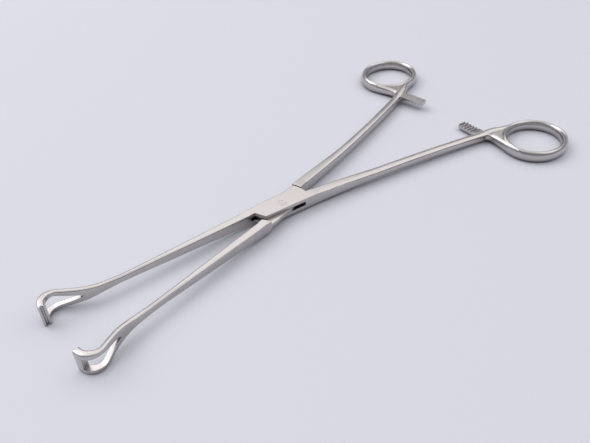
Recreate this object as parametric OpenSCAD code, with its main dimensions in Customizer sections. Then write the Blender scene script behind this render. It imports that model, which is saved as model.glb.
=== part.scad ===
// Babcock tissue forceps with a box lock. Lengths are in millimetres.
// The pivot axis is Z, and the origin is on it at the underside of the lock.
// The jaws point to -X and the finger rings lie at +X.
// Each half is drawn as it stands when closed, then turned by half of the opening.

/* [Overall] */
// Pivot to the end of the jaws
jaw_reach = 96.6; // [86:0.1:108]
// Pivot to the centre of each finger ring
ring_reach = 124.8; // [116:0.1:134]
// Angle between the halves as the forceps lie open
open_angle = 13.6; // [8:0.1:24]

/* [Jaws] */
// Height of the gripping bar
jaw_h = 9.5; // [8:0.1:11]
// Thickness of the jaw blade where it bows out
blade_t = 1.9; // [1.6:0.05:2.3]
// Width of the gripping face
bar_t = 2.5; // [2.2:0.05:3]
// Radius of the outward bow, at the middle of the blade
bow_r = 4.45; // [4:0.05:5.5]
// Slope of the blade between the shank and the bow, in degrees
bow_slope = 23; // [18:0.5:30]
// Radius of the bend from the shank into the slope
flare_r = 26; // [18:1:34]
// Length of straight blade behind the gripping face
tip_straight = 0.9; // [0.4:0.1:1.6]
// Gap between the gripping faces when closed
face_gap = 0.2; // [0.1:0.05:0.5]
// Solid length of blade behind the gripping face, in front of the window
bar_depth = 2.4; // [1.8:0.1:3.2]
// Height of each arm beside the window, at the bow
arm_h = 2.0; // [1.5:0.1:2.6]
// Length of the window along the blade
window_len = 14.5; // [11:0.5:16]
// Rounding radius of the window's narrow end
window_r = 0.55; // [0.4:0.05:0.8]
// Width of the groove along the gripping face
groove_w = 1.0; // [0.7:0.05:1.3]

/* [Jaw shanks] */
// Width of a jaw shank at the lock
shank_w = 3.5; // [3:0.1:4]
// Width of a jaw shank at its neck
neck_w = 1.9; // [1.6:0.1:2.4]
// Height of a jaw shank at its neck
neck_h = 3.0; // [2.6:0.1:3.6]
// Pivot to the neck
neck_x = 64; // [56:1:70]
// Distance from the middle plane to the inner edge of a closed shank, at the neck
neck_gap = 0.55; // [0.3:0.05:1]
// The same distance at the lock
shank_gap = 0.9; // [0.7:0.05:1.2]

/* [Box lock] */
// Height of the lock over both cheeks
lock_h = 5.1; // [4.6:0.1:5.8]
// Thickness of the tongue between the cheeks
tongue_h = 1.85; // [1.5:0.05:2.2]
// Play between the tongue and each cheek
tongue_play = 0.06; // [0.04:0.01:0.1]
// Radius of the rounded rear edge of the cheeks about the pivot
cheek_r = 12.3; // [11.5:0.1:13]
// Gap between the rear edge of the cheeks and the shoulder of the tongue
shoulder_gap = 0.65; // [0.4:0.05:1]
// Pivot to the front edge of the cheeks, along the middle plane
cheek_front = 10.8; // [9.8:0.1:11.6]
// Width of the cheeks on the side of the pivot that faces the other jaw
cheek_near = 3.3; // [3:0.1:3.8]
// Width of the cheeks on the other side of the pivot
cheek_far = 5.0; // [4.8:0.1:5.6]
// Diameter of the pivot pin
pin_d = 3.2; // [2.6:0.1:3.8]
// Radial play of the pin in the tongue
pin_play = 0.04; // [0.02:0.01:0.08]

/* [Handles] */
// Width of a handle shank
handle_w = 3.8; // [3.2:0.1:4.2]
// Width of a handle where it leaves the lock
wrist_w = 4.2; // [3.8:0.1:4.4]
// Width of a handle inside the lock
root_w = 3.5; // [3.2:0.1:3.7]
// Height of a handle shank
handle_h = 3.8; // [3.2:0.1:4.4]
// Distance from the middle plane to the slow curve of a handle, taken back to the lock
handle_y = 2.95; // [2.8:0.05:3.3]
// Distance from the middle plane to the middle of the female handle where it leaves the lock
female_y = 2.1; // [2.05:0.05:2.2]
// Distance from the middle plane to the middle of the male handle where it leaves the lock
male_y = 3.4; // [3.35:0.05:3.5]
// Angle at which a handle leaves the lock, in degrees
handle_lead = 3.2; // [2.6:0.1:3.8]
// Radius of the handle's slow outward curve
handle_r = 790; // [700:10:900]

/* [Finger rings] */
// Length of a ring, middle to middle of the band
ring_len = 30.9; // [28:0.1:33]
// Width of a ring, middle to middle of the band
ring_wid = 25.8; // [23:0.1:28]
// Distance from the middle plane to the centre of a ring
ring_y = 29.3; // [28:0.1:31]
// Thickness of the band
band_t = 2.9; // [2.5:0.1:3.4]
// Height of the band
band_h = 5.4; // [4.8:0.1:6]
// Radius of the middle line of the bend where the ring leaves the handle
fork_r = 3.8; // [3.2:0.1:4.4]
// Pivot to the outermost place of that bend
fork_x = 110.7; // [110:0.1:111.2]

/* [Ratchet] */
// Pivot to the middle of the ratchet bars
ratchet_x = 109.6; // [104:0.1:112]
// Width of a ratchet bar
ratchet_w = 5.3; // [4.6:0.1:6]
// How far a bar reaches over the middle plane
ratchet_over = 1.4; // [0.6:0.1:2.2]
// Distance from tooth to tooth
tooth_pitch = 1.8; // [1.5:0.1:2.1]
// Depth of the teeth
tooth_d = 0.75; // [0.5:0.05:0.9]
// Number of teeth on each bar
teeth = 5; // [3:1:5]
// Gap between the two rows of teeth as they pass
tooth_play = 0.1; // [0.06:0.02:0.2]

/* [Hidden] */
$fn = 96;
steel = [0.80, 0.80, 0.79];
pin_steel = [0.74, 0.74, 0.74];

// Corner radii of the forged sections
lock_edge = 0.3;
neck_edge = 0.75;
blade_edge = 0.6;
handle_edge = 1.2;
band_edge = 1.43;
band_round = 2.3;

// Where the lock block ends inside the shanks, and how far its faces lie under theirs there
lock_flat = 14;
lock_fade = 18;
fade_drop = 0.25;
fade_in = 0.5;
sink = 0.05;

slot_h = tongue_h + 2 * tongue_play;
shoulder_r = cheek_r + shoulder_gap;
handle_x = 20;
handle_fade = 34;
parting = 0.45;
parting_gap = 0.3;
slot_in = 0.35;
tip_x = -jaw_reach + bar_t / 2;
ring_top = ring_y - ring_wid / 2;
merge_x = ring_reach - 13;
cut = 20;

function ease(t) = let (c = max(0, min(1, t))) c * c * (3 - 2 * c);
function mix(a, b, t) = a + (b - a) * max(0, min(1, t));
function arc(c, r, a0, a1, n) =
    [for (i = [0:n]) let (a = a0 + (a1 - a0) * i / n) c + r * [cos(a), sin(a)]];

// A rectangle with elliptical corners, four points to each corner
function section(w, h, corner) =
    let (q = [min(corner.x, w / 2 - 0.01), min(corner.y, h / 2 - 0.01)])
    [for (k = [0:3], a = [0:30:90])
        let (s = [k == 0 || k == 3 ? 1 : -1, k < 2 ? 1 : -1])
        [s.x * (w / 2 - q.x) + q.x * cos(a + 90 * k), s.y * (h / 2 - q.y) + q.y * sin(a + 90 * k)]];

// A station is [x, y, heading, width, height, [corner width, corner height]]
function ring_of(s) =
    [for (p = section(s[3], s[4], s[5])) [s[0] + p.x * sin(s[2]), s[1] - p.x * cos(s[2]), p.y]];

// Solid through a row of stations, open ended or closed on itself
module loft(stations, closed = false) {
    n = len(stations);
    m = 16;
    last = closed ? n - 1 : n - 2;
    side = [for (i = [0:last], j = [0:m - 1])
        let (k = (j + 1) % m, here = i * m, next = (i + 1) % n * m)
        each [[here + j, here + k, next + j], [here + k, next + k, next + j]]];
    ends = closed ? [] : [[for (j = [m - 1:-1:0]) j], [for (j = [0:m - 1]) (n - 1) * m + j]];
    polyhedron([for (s = stations) each ring_of(s)], concat(side, ends));
}

// Jaw blade: straight behind the gripping face, round the bow, down the slope and into the shank
bow_c = [tip_x + bow_r, face_gap / 2 + tip_straight];
slope_top = bow_c + bow_r * [sin(bow_slope), cos(bow_slope)];
shank_y = neck_gap + neck_w / 2;
slope_drop = slope_top.y - shank_y - flare_r * (1 - cos(bow_slope));
slope_len = slope_drop / sin(bow_slope);
slope_end = slope_top + slope_len * [cos(bow_slope), -sin(bow_slope)];
flare_c = slope_end + flare_r * [sin(bow_slope), cos(bow_slope)];
flare_x = flare_c.x;

function blade_path() = concat(
    [[tip_x, face_gap / 2, 90]],
    [for (i = [0:11]) let (a = 90 - (90 + bow_slope) * i / 11)
        [bow_c.x - bow_r * sin(a), bow_c.y + bow_r * cos(a), a]],
    [for (i = [1:2]) let (p = slope_top + slope_len * i / 3 * [cos(bow_slope), -sin(bow_slope)])
        [p.x, p.y, -bow_slope]],
    [for (i = [0:5]) let (a = -bow_slope * (1 - i / 5))
        [flare_c.x + flare_r * sin(a), flare_c.y - flare_r * cos(a), a]]);

// Height of the blade grows in a straight taper from the end of the flare to the bow
function blade_h(x) = mix(neck_h, jaw_h * 0.94, (flare_x + 2 - x) / (flare_x + 2 - bow_c.x + 1)) +
    jaw_h * 0.06 * ease((bow_c.x - x) / bow_r);
function blade_w(x) =
    mix(neck_w, blade_t, (flare_x - x) / 8) + (bar_t - blade_t) * ease((bow_c.x + 1 - x) / bow_r);

// Jaw shank from the flare to inside the lock
function shank_share(x) = (x + neck_x) / (neck_x - 12);
function shank_width(x) = mix(neck_w, shank_w, shank_share(x));
function shank_height(x) = mix(neck_h, lock_h - 2 * sink, shank_share(x));
function shank_inner(x) = mix(neck_gap, shank_gap, shank_share(x));
function shank_corner(x) = mix(neck_edge, lock_edge, shank_share(x));

function jaw_stations() = concat(
    [for (p = blade_path()) [p.x, p.y, p.z, blade_w(p.x), blade_h(p.x), [blade_edge, blade_edge]]],
    [for (i = [1:11]) let (x = mix(flare_x, -6, i / 11))
        [x, shank_inner(x) + shank_width(x) / 2, 0, shank_width(x), shank_height(x),
            [shank_corner(x), shank_corner(x)]]]);

// Handle: a slow curve away from the middle plane that runs into the near side of the ring.
// Close behind the lock its middle line is moved to the given distance.
function slow_curve(x) =
    let (d = x - handle_x) handle_y + d * tan(handle_lead) + d * d / (2 * handle_r);
function handle_c(x, start_y) =
    slow_curve(x) + (start_y - handle_y) * (1 - ease((x - handle_x) / handle_fade));
function merged(x) = ease((x - merge_x) / (ring_reach - merge_x));
function handle_line(x, start_y) = mix(handle_c(x, start_y), ring_top, merged(x));
function handle_width(x) = x < handle_x ? mix(root_w, wrist_w, (x - 8) / (handle_x - 8)) :
    mix(mix(wrist_w, handle_w, (x - 30) / 35), band_t, merged(x));
function handle_height(x) =
    mix(lock_h - 2 * sink, mix(handle_h, band_h - 0.1, merged(x + 8)), (x - 12) / 36);
function handle_corner(x) =
    let (c = mix(lock_edge, handle_edge, (x - 14) / 30))
    [mix(c, band_edge, merged(x)), mix(c, band_round, merged(x))];

function handle_stations(start_y) = [for (i = [0:20])
    let (x = mix(8, ring_reach, i / 20))
    let (slope = handle_line(x + 0.5, start_y) - handle_line(x - 0.5, start_y))
    [x, -handle_line(x, start_y), -atan(slope), handle_width(x), handle_height(x), handle_corner(x)]];

function ring_at(t) = [ring_reach + ring_len / 2 * cos(t), -ring_y + ring_wid / 2 * sin(t)];
function ring_heading(t) = atan2(ring_wid * cos(t), -ring_len * sin(t));
function band_station(t) =
    [ring_at(t).x, ring_at(t).y, ring_heading(t), band_t, band_h, [band_edge, band_round]];

module ring() {
    steps = 64;
    loft([for (i = [0:steps - 1]) band_station(360 * i / steps)], closed = true);
}

// Bend that carries the outer side of the handle round into the ring
fork_turn = 81;
fork_c = [fork_x - fork_r, -slow_curve(fork_x - fork_r) - 0.5 - fork_r];
fork_end = ring_at(180);
function fork_run(s) = [mix(fork_x, fork_end.x, ease(s)), mix(fork_c.y, fork_end.y, s)];

function fork_stations() = concat(
    [for (x = [fork_c.x - 9, fork_c.x - 4])
        [x, -slow_curve(x) - 0.25, fork_turn - 90, band_t + 0.3, handle_h - 0.1, [handle_edge, handle_edge]]],
    [for (i = [0:6]) let (a = fork_turn * (1 - i / 6), p = fork_c + fork_r * [cos(a), sin(a)])
        [p.x, p.y, a - 90, band_t, handle_h, [band_edge, handle_edge + 0.2]]],
    [for (i = [1:4]) let (s = i / 5, p = fork_run(s), d = fork_run(s + 0.05) - fork_run(s - 0.05))
        [p.x, p.y, atan2(d.y, d.x), band_t, mix(handle_h, band_h, s),
            [band_edge, mix(handle_edge + 0.2, band_round, s)]]],
    [band_station(180), band_station(192)]);

// Flat web between the handle, the bend and the ring
module web() {
    h = handle_h + 0.5;
    translate([0, 0, -h / 2]) linear_extrude(h) polygon(concat(
        [[fork_c.x - 6, -slow_curve(fork_c.x - 6)], [merge_x + 2, -handle_line(merge_x + 2, handle_y)],
            [ring_reach - 4, -ring_top - 0.2]],
        [for (t = [105:15:165]) ring_at(t)],
        [fork_end],
        [for (i = [4:-1:1]) fork_run(i / 5)],
        [for (i = [6:-1:0]) let (a = fork_turn * (1 - i / 6)) fork_c + fork_r * [cos(a), sin(a)]]));
}

module window_cutter() {
    path = blade_path();
    wide = 2 * bar_t;
    corner = [0.25, 0.25];
    x_bar = bow_c.x - bow_r * cos(asin(min(0.9, (bar_depth - tip_straight) / bow_r)));
    x_end = tip_x + window_len - 1.5;
    reach = [for (p = path) if (p.x > x_bar - 0.05 && p.x < x_end - 1 || (p.z < 0 && p.x < x_end - 1)) p];
    inner = jaw_h / 2 - arm_h;
    function half(x) = mix(window_r, inner, (x_end - x) / (x_end - bow_c.x));
    loft(concat(
        [for (p = reach) [p.x, p.y, p.z, wide, 2 * half(p.x), corner]],
        [[x_end, reach[len(reach) - 1].y, reach[len(reach) - 1].z, wide, 2 * window_r, corner]]));
    translate([x_end, -cut / 2, 0]) rotate([-90, 0, 0]) cylinder(r = window_r, h = cut);
}

module jaw() {
    difference() {
        loft(jaw_stations());
        window_cutter();
        translate([tip_x, face_gap / 2, -jaw_h]) cylinder(d = groove_w, h = 2 * jaw_h);
    }
}

module blank(start_y) {
    jaw();
    loft(handle_stations(start_y));
    loft(fork_stations());
    ring();
    web();
}

// Block over the lock: flat in the middle, with ends that sink into both shanks
module lock_block() {
    top = lock_h / 2;
    side = [[-lock_fade, top - fade_drop], [-lock_flat, top], [lock_flat, top], [lock_fade, top - fade_drop]];
    intersection() {
        translate([0, 0, -top]) linear_extrude(lock_h) children();
        rotate([90, 0, 0]) translate([0, 0, -cut]) linear_extrude(2 * cut)
            polygon(concat(side, [for (i = [3:-1:0]) [side[i].x, -side[i].y]]));
    }
}

function shank_outer(x) = shank_inner(x) + shank_width(x);

// Outlines of the block run from the jaw shank's outer side, clockwise about the pivot, back to its
// inner side. These are their two corners at the end inside each shank.
jaw_end = [[-lock_fade, shank_outer(-lock_fade) - fade_in], [-lock_fade, shank_inner(-lock_fade) + fade_in]];
function handle_end(start_y) =
    let (half = handle_width(lock_fade) / 2 - fade_in)
    [for (side = [-half, half]) [lock_fade, -handle_c(lock_fade, start_y) - side]];

module female_outline() {
    polygon(concat(
        [jaw_end[0], [-lock_flat, shank_outer(-lock_flat)], [-4, cheek_far - 0.05], [1, cheek_far],
            [4.5, cheek_far + 0.2], [7.6, cheek_far + 0.95]],
        arc([0, 0], cheek_r, 33, 2, 12),
        [[lock_flat, parting - 0.1]],
        handle_end(female_y),
        [[lock_flat, -cheek_near - 0.35], [-cheek_front + 0.9, -cheek_near + 0.1],
            [-cheek_front - 1.4, shank_gap + 0.05], jaw_end[1]]));
}

// Slot through the female half for the tongue, open towards the far side and to both ends
module slot() {
    translate([0, 0, -slot_h / 2]) linear_extrude(slot_h) polygon([
        [-15.4, 0.4], [-3.2, cheek_far + 3], [cut, cheek_far + 3], [cut, parting + 0.9], [16, parting],
        [cheek_r + 0.4, -slot_in], [9.4, -cheek_near - 0.2], [8.6, -cheek_near - 1.2],
        [-13.4, -cheek_near - 1.2]]);
}

module ratchet_bar(sign) {
    root = slow_curve(ratchet_x);
    z_teeth = tooth_play / 2;
    z_back = handle_h / 2 - 0.1;
    first = ratchet_over - 0.4;
    module bar_outline() {
        half = ratchet_w / 2;
        edge = -root + handle_w / 2;
        polygon([[-half - 1.6, edge - 1.2], [half + 1, edge - 1.2], [half, edge + 1.2],
            [half, ratchet_over - 0.7], [half - 0.6, ratchet_over - 0.1], [-half + 0.6, ratchet_over],
            [-half, ratchet_over - 0.6], [-half, edge + 1.6], [-half - 0.5, edge + 0.3]]);
    }
    translate([ratchet_x, 0, 0]) mirror([0, 0, sign > 0 ? 0 : 1]) difference() {
        translate([0, 0, z_teeth]) linear_extrude(z_back - z_teeth) bar_outline();
        for (k = [0:teeth - 1]) translate([-ratchet_w, first - k * tooth_pitch, z_teeth])
            rotate([90, 0, 90]) linear_extrude(2 * ratchet_w)
                polygon([[0.3, -0.2], [0, tooth_d], [-tooth_pitch + 0.35, -0.2]]);
    }
}

module female_half() {
    color(steel) translate([0, 0, lock_h / 2]) rotate([0, 0, -open_angle / 2]) {
        difference() {
            union() {
                blank(female_y);
                lock_block() female_outline();
            }
            slot();
            translate([0, 0, -lock_h]) cylinder(d = pin_d, h = 2 * lock_h);
        }
        ratchet_bar(-1);
    }
}

// Both faces of the male half are cut back round the pivot, down to the tongue
module male_outline() {
    edge = parting + parting_gap;
    polygon(concat(
        [jaw_end[0], [-12, shank_outer(-12)], [1.6, 3.85], [6, 2.9], [13, -edge]],
        handle_end(male_y),
        [[13, -cheek_far + 0.1], [10, -cheek_far + 0.5], [6, -cheek_far + 1.05],
            [-12.8, shank_gap - 0.05], jaw_end[1]]));
}

module tongue_recess() {
    translate([0, 0, tongue_h / 2]) linear_extrude(lock_h) difference() {
        circle(r = shoulder_r);
        polygon([[-12.95, 0.5], [-10.9, 4.9], [-10.9, cut], [-cut, cut], [-cut, -cut], [-12.95, -cut]]);
    }
}

module male_half() {
    color(steel) translate([0, 0, lock_h / 2]) rotate([0, 0, open_angle / 2]) mirror([0, 1, 0]) {
        difference() {
            union() {
                blank(male_y);
                lock_block() male_outline();
            }
            tongue_recess();
            mirror([0, 0, 1]) tongue_recess();
            translate([0, 0, -lock_h]) cylinder(d = pin_d + 2 * pin_play, h = 2 * lock_h);
        }
        ratchet_bar(1);
    }
}

// Pin riveted in both cheeks and ground flush
module pivot_pin() {
    color(pin_steel) cylinder(d = pin_d, h = lock_h);
}

female_half();
male_half();
pivot_pin();
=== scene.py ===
import math

import bmesh
import bpy
import numpy as np
from mathutils import Matrix, Vector


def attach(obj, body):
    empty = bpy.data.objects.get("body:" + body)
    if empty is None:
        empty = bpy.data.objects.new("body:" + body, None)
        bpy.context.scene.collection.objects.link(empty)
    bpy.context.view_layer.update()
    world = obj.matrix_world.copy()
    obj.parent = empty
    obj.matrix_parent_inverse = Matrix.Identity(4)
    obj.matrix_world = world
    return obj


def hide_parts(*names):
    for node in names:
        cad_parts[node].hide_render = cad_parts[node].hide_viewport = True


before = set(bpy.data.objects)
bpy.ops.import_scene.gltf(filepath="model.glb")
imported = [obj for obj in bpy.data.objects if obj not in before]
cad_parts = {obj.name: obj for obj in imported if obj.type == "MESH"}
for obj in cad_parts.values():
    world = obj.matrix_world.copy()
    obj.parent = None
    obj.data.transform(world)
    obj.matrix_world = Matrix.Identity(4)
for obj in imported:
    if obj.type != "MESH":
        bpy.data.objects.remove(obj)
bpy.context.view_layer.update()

# The camera stands close over the near jaw and looks along the forceps, so the rings look small.
# Its place is given as an azimuth, an elevation and a distance from a point near the box lock.
camera_azimuth = math.radians(-43.909)
camera_elevation = math.radians(40.605)
camera_roll = math.radians(0.597)
camera_distance = 0.22746
camera_aim = Vector((-0.00209, -0.00985, 0.00255))
picture_width, focal_length = 590.0, 581.68    # both in pixels


def place_camera():
    """Camera axes: the view direction from azimuth and elevation, then right and up turned by the roll."""
    flat, drop = math.cos(camera_elevation), math.sin(camera_elevation)
    forward = Vector((-math.sin(camera_azimuth) * flat, math.cos(camera_azimuth) * flat, -drop))
    level = Vector((math.cos(camera_azimuth), math.sin(camera_azimuth), 0.0))
    rise = level.cross(forward)
    right = math.cos(camera_roll) * level + math.sin(camera_roll) * rise
    up = -math.sin(camera_roll) * level + math.cos(camera_roll) * rise
    data = bpy.data.cameras.new("camera")
    data.sensor_fit = "HORIZONTAL"
    data.sensor_width = 36.0
    data.lens = data.sensor_width * focal_length / picture_width
    data.clip_start = 0.01
    data.clip_end = 20.0
    camera = bpy.data.objects.new("camera", data)
    turn = Matrix((right, up, -forward)).transposed().to_4x4()
    camera.matrix_world = Matrix.Translation(camera_aim - camera_distance * forward) @ turn
    bpy.context.scene.collection.objects.link(camera)
    bpy.context.scene.camera = camera


place_camera()


# The two forged halves. Each is one piece of stainless steel, from the bowed jaw with its window to the
# finger ring and ratchet bar. They are brushed along their length and have a satin sheen, and the half
# that holds the pin also has the box that the other crosses.
def new_group(name, inputs, outputs):
    """An empty shader node group with named sockets, and its input and output nodes."""
    group = bpy.data.node_groups.new(name, "ShaderNodeTree")
    for label, kind, value in inputs:
        group.interface.new_socket(name=label, in_out="INPUT", socket_type=kind).default_value = value
    for label, kind in outputs:
        group.interface.new_socket(name=label, in_out="OUTPUT", socket_type=kind)
    entry = group.nodes.new("NodeGroupInput")
    leave = group.nodes.new("NodeGroupOutput")
    return group, entry, leave


def add_node(tree, kind, inputs, **settings):
    """One node with its settings; each input is set from a value or linked from a socket."""
    node = tree.nodes.new(kind)
    for name, value in settings.items():
        setattr(node, name, value)
    for name, value in inputs.items():
        if isinstance(value, bpy.types.NodeSocket):
            tree.links.new(value, node.inputs[name])
        else:
            node.inputs[name].default_value = value
    return node


def blend_sum(tree, base, *terms):
    """Base plus each socket times its weight, as a chain of multiply-add nodes."""
    total = base
    for socket, weight in terms:
        total = add_node(tree, "ShaderNodeMath", {0: socket, 1: weight, 2: total},
                         operation="MULTIPLY_ADD").outputs[0]
    return total


def blend_colour(tree, share, first, second):
    """First times one minus the share, plus second times the share. A Mix node's sockets for colours
    are its inputs 6 and 7 and its output 2."""
    return add_node(tree, "ShaderNodeMix", {0: share, 6: first, 7: second}, data_type="RGBA").outputs[2]


def brushed_grain_group():
    """Streaks are noise stretched along a half's length, mottle is soft wide noise, grit is fine noise.
    Each has 0.5 taken away, so that it varies about zero."""
    width_over_length = 0.02
    mottles_per_metre, grits_per_metre = 190.0, 9000.0
    group, entry, leave = new_group(
        "brushed_grain",
        [("Turn", "NodeSocketFloat", 0.0), ("Streaks per metre", "NodeSocketFloat", 3000.0)],
        [("Streak", "NodeSocketFloat"), ("Mottle", "NodeSocketFloat"), ("Grit", "NodeSocketFloat")])
    place = add_node(group, "ShaderNodeTexCoord", {}).outputs["Object"]
    turned = add_node(group, "ShaderNodeVectorRotate", {"Vector": place, "Angle": entry.outputs["Turn"]},
                      rotation_type="Z_AXIS")
    stretched = add_node(group, "ShaderNodeVectorMath",
                         {0: turned.outputs[0], 1: (width_over_length, 1.0, 1.0)}, operation="MULTIPLY")
    streak = add_node(group, "ShaderNodeTexNoise", {"Vector": stretched.outputs[0], "Detail": 2.0,
                      "Scale": entry.outputs["Streaks per metre"], "Roughness": 0.5})
    mottle = add_node(group, "ShaderNodeTexNoise", {"Vector": place, "Scale": mottles_per_metre,
                      "Detail": 4.0, "Roughness": 0.55})
    grit = add_node(group, "ShaderNodeTexNoise", {"Vector": place, "Scale": grits_per_metre,
                    "Detail": 1.0})
    for name, noise in (("Streak", streak), ("Mottle", mottle), ("Grit", grit)):
        centred = add_node(group, "ShaderNodeMath", {0: noise.outputs[0], 1: 0.5}, operation="SUBTRACT")
        group.links.new(centred.outputs[0], leave.inputs[name])
    return group


def worn_edge_group():
    """The normal is rounded over a small radius at every edge. Wear is how far that normal leans from the
    face's own, as one minus their dot product, taken up to full at the given lean."""
    group, entry, leave = new_group(
        "worn_edge",
        [("Radius", "NodeSocketFloat", 0.0002), ("Full lean", "NodeSocketFloat", 0.2)],
        [("Normal", "NodeSocketVector"), ("Wear", "NodeSocketFloat")])
    rounded = add_node(group, "ShaderNodeBevel", {"Radius": entry.outputs["Radius"]}, samples=8)
    face = add_node(group, "ShaderNodeNewGeometry", {})
    match = add_node(group, "ShaderNodeVectorMath", {0: rounded.outputs[0], 1: face.outputs["Normal"]},
                     operation="DOT_PRODUCT")
    lean = add_node(group, "ShaderNodeMath", {0: 1.0, 1: match.outputs["Value"]}, operation="SUBTRACT")
    wear = add_node(group, "ShaderNodeMapRange", {"Value": lean.outputs[0], "From Min": 0.0,
                    "From Max": entry.outputs["Full lean"]})
    group.links.new(rounded.outputs[0], leave.inputs["Normal"])
    group.links.new(wear.outputs[0], leave.inputs["Wear"])
    return group


def painted_shade_group():
    """Painted shade: one minus the open share of the surroundings within reach, raised to a power, so that
    only slots, tooth roots and the joint between the halves count. This share darkens the colour where
    shade falls."""
    reach = 0.003
    group, entry, leave = new_group(
        "painted_shade", [("Power", "NodeSocketFloat", 1.4)], [("Painted shade", "NodeSocketFloat")])
    open_share = add_node(group, "ShaderNodeAmbientOcclusion", {"Distance": reach}, samples=12)
    shut = add_node(group, "ShaderNodeMath", {0: 1.0, 1: open_share.outputs["AO"]}, operation="SUBTRACT")
    painted_shade_share = add_node(group, "ShaderNodeMath", {0: shut.outputs[0], 1: entry.outputs["Power"]},
                      operation="POWER", use_clamp=True)
    group.links.new(painted_shade_share.outputs[0], leave.inputs["Painted shade"])
    return group


brushed_grain = brushed_grain_group()
worn_edge = worn_edge_group()
painted_shade = painted_shade_group()

# Painted shade: the near-black colour that the steel is blended to in slots and recesses, where shade
# falls.
painted_shade_colour = (0.035, 0.03, 0.03, 1.0)
tone_shares = (0.88, 1.12, 1.22)    # dull, bright and polished steel over the mean colour
relief_height, relief_strength = 0.00002, 0.1


def satin_steel(name, turn, colour, roughness):
    """Colour runs from dull to bright by streak and mottle, then to polished by wear, then to a painted
    shade where the surroundings close in. Roughness is its mean plus weighted mottle and streak, less
    weighted wear.
    The relief is the streaks plus half the grit."""
    material = bpy.data.materials.new(name)
    material.use_nodes = True
    tree = material.node_tree
    shader = tree.nodes["Principled BSDF"]
    shader.inputs["Metallic"].default_value = 1.0
    grain = add_node(tree, "ShaderNodeGroup", {"Turn": turn}, node_tree=brushed_grain)
    streak, mottle, grit = (grain.outputs[label] for label in ("Streak", "Mottle", "Grit"))
    edge = add_node(tree, "ShaderNodeGroup", {}, node_tree=worn_edge)
    wear = edge.outputs["Wear"]
    painted_shade_share = add_node(tree, "ShaderNodeGroup", {}, node_tree=painted_shade).outputs["Painted shade"]

    dull, bright, polished = ([min(1.0, part * share) for part in colour] + [1.0] for share in tone_shares)
    bright_share = blend_sum(tree, 0.5, (streak, 0.6), (mottle, 0.7))
    tone = blend_colour(tree, bright_share, dull, bright)
    tone = blend_colour(tree, wear, tone, polished)
    # Painted shade: the colour is blended towards near black where the surroundings close in.
    tone = blend_colour(tree, painted_shade_share, tone, painted_shade_colour)
    tree.links.new(tone, shader.inputs["Base Color"])
    tree.links.new(blend_sum(tree, roughness, (mottle, 0.12), (streak, 0.12), (wear, -0.06)),
                   shader.inputs["Roughness"])
    relief = blend_sum(tree, 0.0, (streak, 1.0), (grit, 0.5))
    bump = add_node(tree, "ShaderNodeBump", {"Strength": relief_strength, "Distance": relief_height,
                    "Height": relief, "Normal": edge.outputs["Normal"]})
    tree.links.new(bump.outputs["Normal"], shader.inputs["Normal"])
    return material


def dressed_copy(node, name, material):
    """The CAD solid's own surface with its seams merged, shaded smooth across edges flatter than crease."""
    seam_width, sliver_length, crease = 2e-6, 1e-6, math.radians(38.0)
    shell = bmesh.new()
    shell.from_mesh(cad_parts[node].data)
    bmesh.ops.remove_doubles(shell, verts=shell.verts, dist=seam_width)
    bmesh.ops.dissolve_degenerate(shell, edges=shell.edges, dist=sliver_length)
    for face in shell.faces:
        face.smooth = True
    for edge in shell.edges:
        edge.smooth = edge.is_manifold and edge.calc_face_angle(math.pi) < crease
    mesh = bpy.data.meshes.new(name)
    shell.to_mesh(mesh)
    shell.free()
    mesh.materials.clear()
    mesh.materials.append(material)
    piece = bpy.data.objects.new(name, mesh)
    bpy.context.scene.collection.objects.link(piece)
    weighted = piece.modifiers.new("even_shading", "WEIGHTED_NORMAL")
    weighted.keep_sharp = True
    return piece


half_turn = math.radians(6.8)    # each half is turned this far from the forceps' middle line
forged_colour, forged_roughness = (0.53, 0.505, 0.503), 0.24
halves = [("female_half", "holding_half", half_turn), ("male_half", "crossing_half", -half_turn)]
for node, body, turn in halves:
    steel = satin_steel(node + "_steel", turn, forged_colour, forged_roughness)
    half = dressed_copy(node, node + "_forging", steel)
    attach(half, body)
    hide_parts(node)


# The pivot pin is a plain steel pin, pressed through both cheeks, riveted and ground flush with them.
# Only its round outline shows on the lock.
pin_colour, pin_roughness = (0.51, 0.487, 0.485), 0.27
pin_steel = satin_steel("pivot_pin_steel", half_turn, pin_colour, pin_roughness)
pin = dressed_copy("pivot_pin", "pivot_pin_rivet", pin_steel)
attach(pin, "holding_half")
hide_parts("pivot_pin")


# The table is a plain pale sheet. The forceps touch it at the jaws and at the rings, which are
# lower than the lock, so it slopes very slightly along them.
def lowest(start, end):
    """Lowest height of the object between two places along X."""
    low = math.inf
    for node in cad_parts.values():
        points = np.empty(len(node.data.vertices) * 3)
        node.data.vertices.foreach_get("co", points)
        points = points.reshape(-1, 3)
        inside = points[(points[:, 0] > start) & (points[:, 0] < end)]
        if len(inside):
            low = min(low, inside[:, 2].min())
    return low


jaw_x, ring_x = -0.090, 0.128
jaws_from, rings_from, beyond = -0.08, 0.11, 0.2    # along X; beyond is past either end
jaw_low = lowest(-beyond, jaws_from)
ring_low = lowest(rings_from, beyond)
slope = (ring_low - jaw_low) / (ring_x - jaw_x)
table_half = 2.0
corners = [(x, y, jaw_low + slope * (x - jaw_x))
           for x, y in ((-table_half, -table_half), (table_half, -table_half),
                        (table_half, table_half), (-table_half, table_half))]
table_mesh = bpy.data.meshes.new("table_top")
table_mesh.from_pydata(corners, [], [(0, 1, 2, 3)])
table = bpy.data.objects.new("table_top", table_mesh)
bpy.context.scene.collection.objects.link(table)
paper = bpy.data.materials.new("pale_paper")
paper.use_nodes = True
paper_shader = paper.node_tree.nodes["Principled BSDF"]
paper_shader.inputs["Base Color"].default_value = (0.655, 0.668, 0.738, 1.0)
paper_shader.inputs["Roughness"].default_value = 0.9
paper_shader.inputs["Specular IOR Level"].default_value = 0.1
table_mesh.materials.append(paper)


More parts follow.
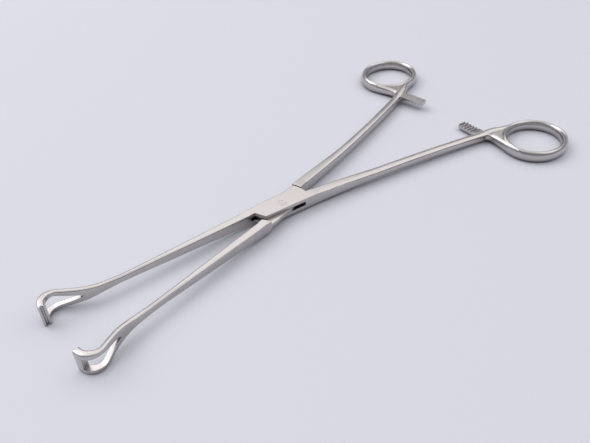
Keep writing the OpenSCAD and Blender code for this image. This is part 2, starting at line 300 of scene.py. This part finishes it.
# The light is a bright ceiling over a dimmer room, and one broad lamp behind the far jaw that gives the
# faint soft shadows. The near side of the room is dim all the way up, as behind a photographer, so that
# rounded edges that face it look dark.
lamp_place, lamp_width, lamp_power = (-0.55, 1.05, 1.05), 1.2, 7.0
lamp_data = bpy.data.lights.new("broad_lamp", "AREA")
lamp_data.shape = "SQUARE"
lamp_data.size = lamp_width
lamp_data.energy = lamp_power
lamp = bpy.data.objects.new("broad_lamp", lamp_data)
lamp.location = lamp_place
lamp.rotation_euler = (-Vector(lamp_place)).to_track_quat("-Z", "Y").to_euler()
bpy.context.scene.collection.objects.link(lamp)

room = bpy.data.worlds.new("pale_room")
bpy.context.scene.world = room
room.use_nodes = True
air = room.node_tree
direction = add_node(air, "ShaderNodeTexCoord", {}).outputs["Generated"]
rise = add_node(air, "ShaderNodeSeparateXYZ", {0: direction}).outputs["Z"]
ramp = add_node(air, "ShaderNodeValToRGB", {0: rise})
ramp.color_ramp.interpolation = "EASE"
# Rise of the direction, 0 level and 1 straight up, and the room's colour there.
room_levels = [(0.13, (0.68, 0.69, 0.76)), (0.21, (0.24, 0.25, 0.27)), (0.455, (0.28, 0.28, 0.30)),
               (0.61, (1.56, 1.52, 1.49)), (0.80, (1.46, 1.43, 1.41)), (1.0, (0.95, 0.95, 0.95))]
stops = ramp.color_ramp.elements
stops[0].position = room_levels[0][0]
for level, colour in room_levels[1:-1]:
    stops.new(level)
for stop, (level, colour) in zip(stops, room_levels):
    stop.color = (*colour, 1.0)

near_way, near_colour = (-0.69, -0.72, 0.0), (0.30, 0.30, 0.32, 1.0)
dim_from, dim_full = 0.2, 0.7    # cosines of the angle between a direction and the near way
nearness = add_node(air, "ShaderNodeVectorMath", {0: direction, 1: near_way},
                    operation="DOT_PRODUCT").outputs["Value"]
near_share = add_node(air, "ShaderNodeMapRange", {"Value": nearness, "From Min": dim_from,
                      "From Max": dim_full}, interpolation_type="SMOOTHSTEP").outputs[0]
air.links.new(blend_colour(air, near_share, ramp.outputs["Color"], near_colour),
              air.nodes["Background"].inputs["Color"])

bpy.context.scene.view_settings.view_transform = "Standard"
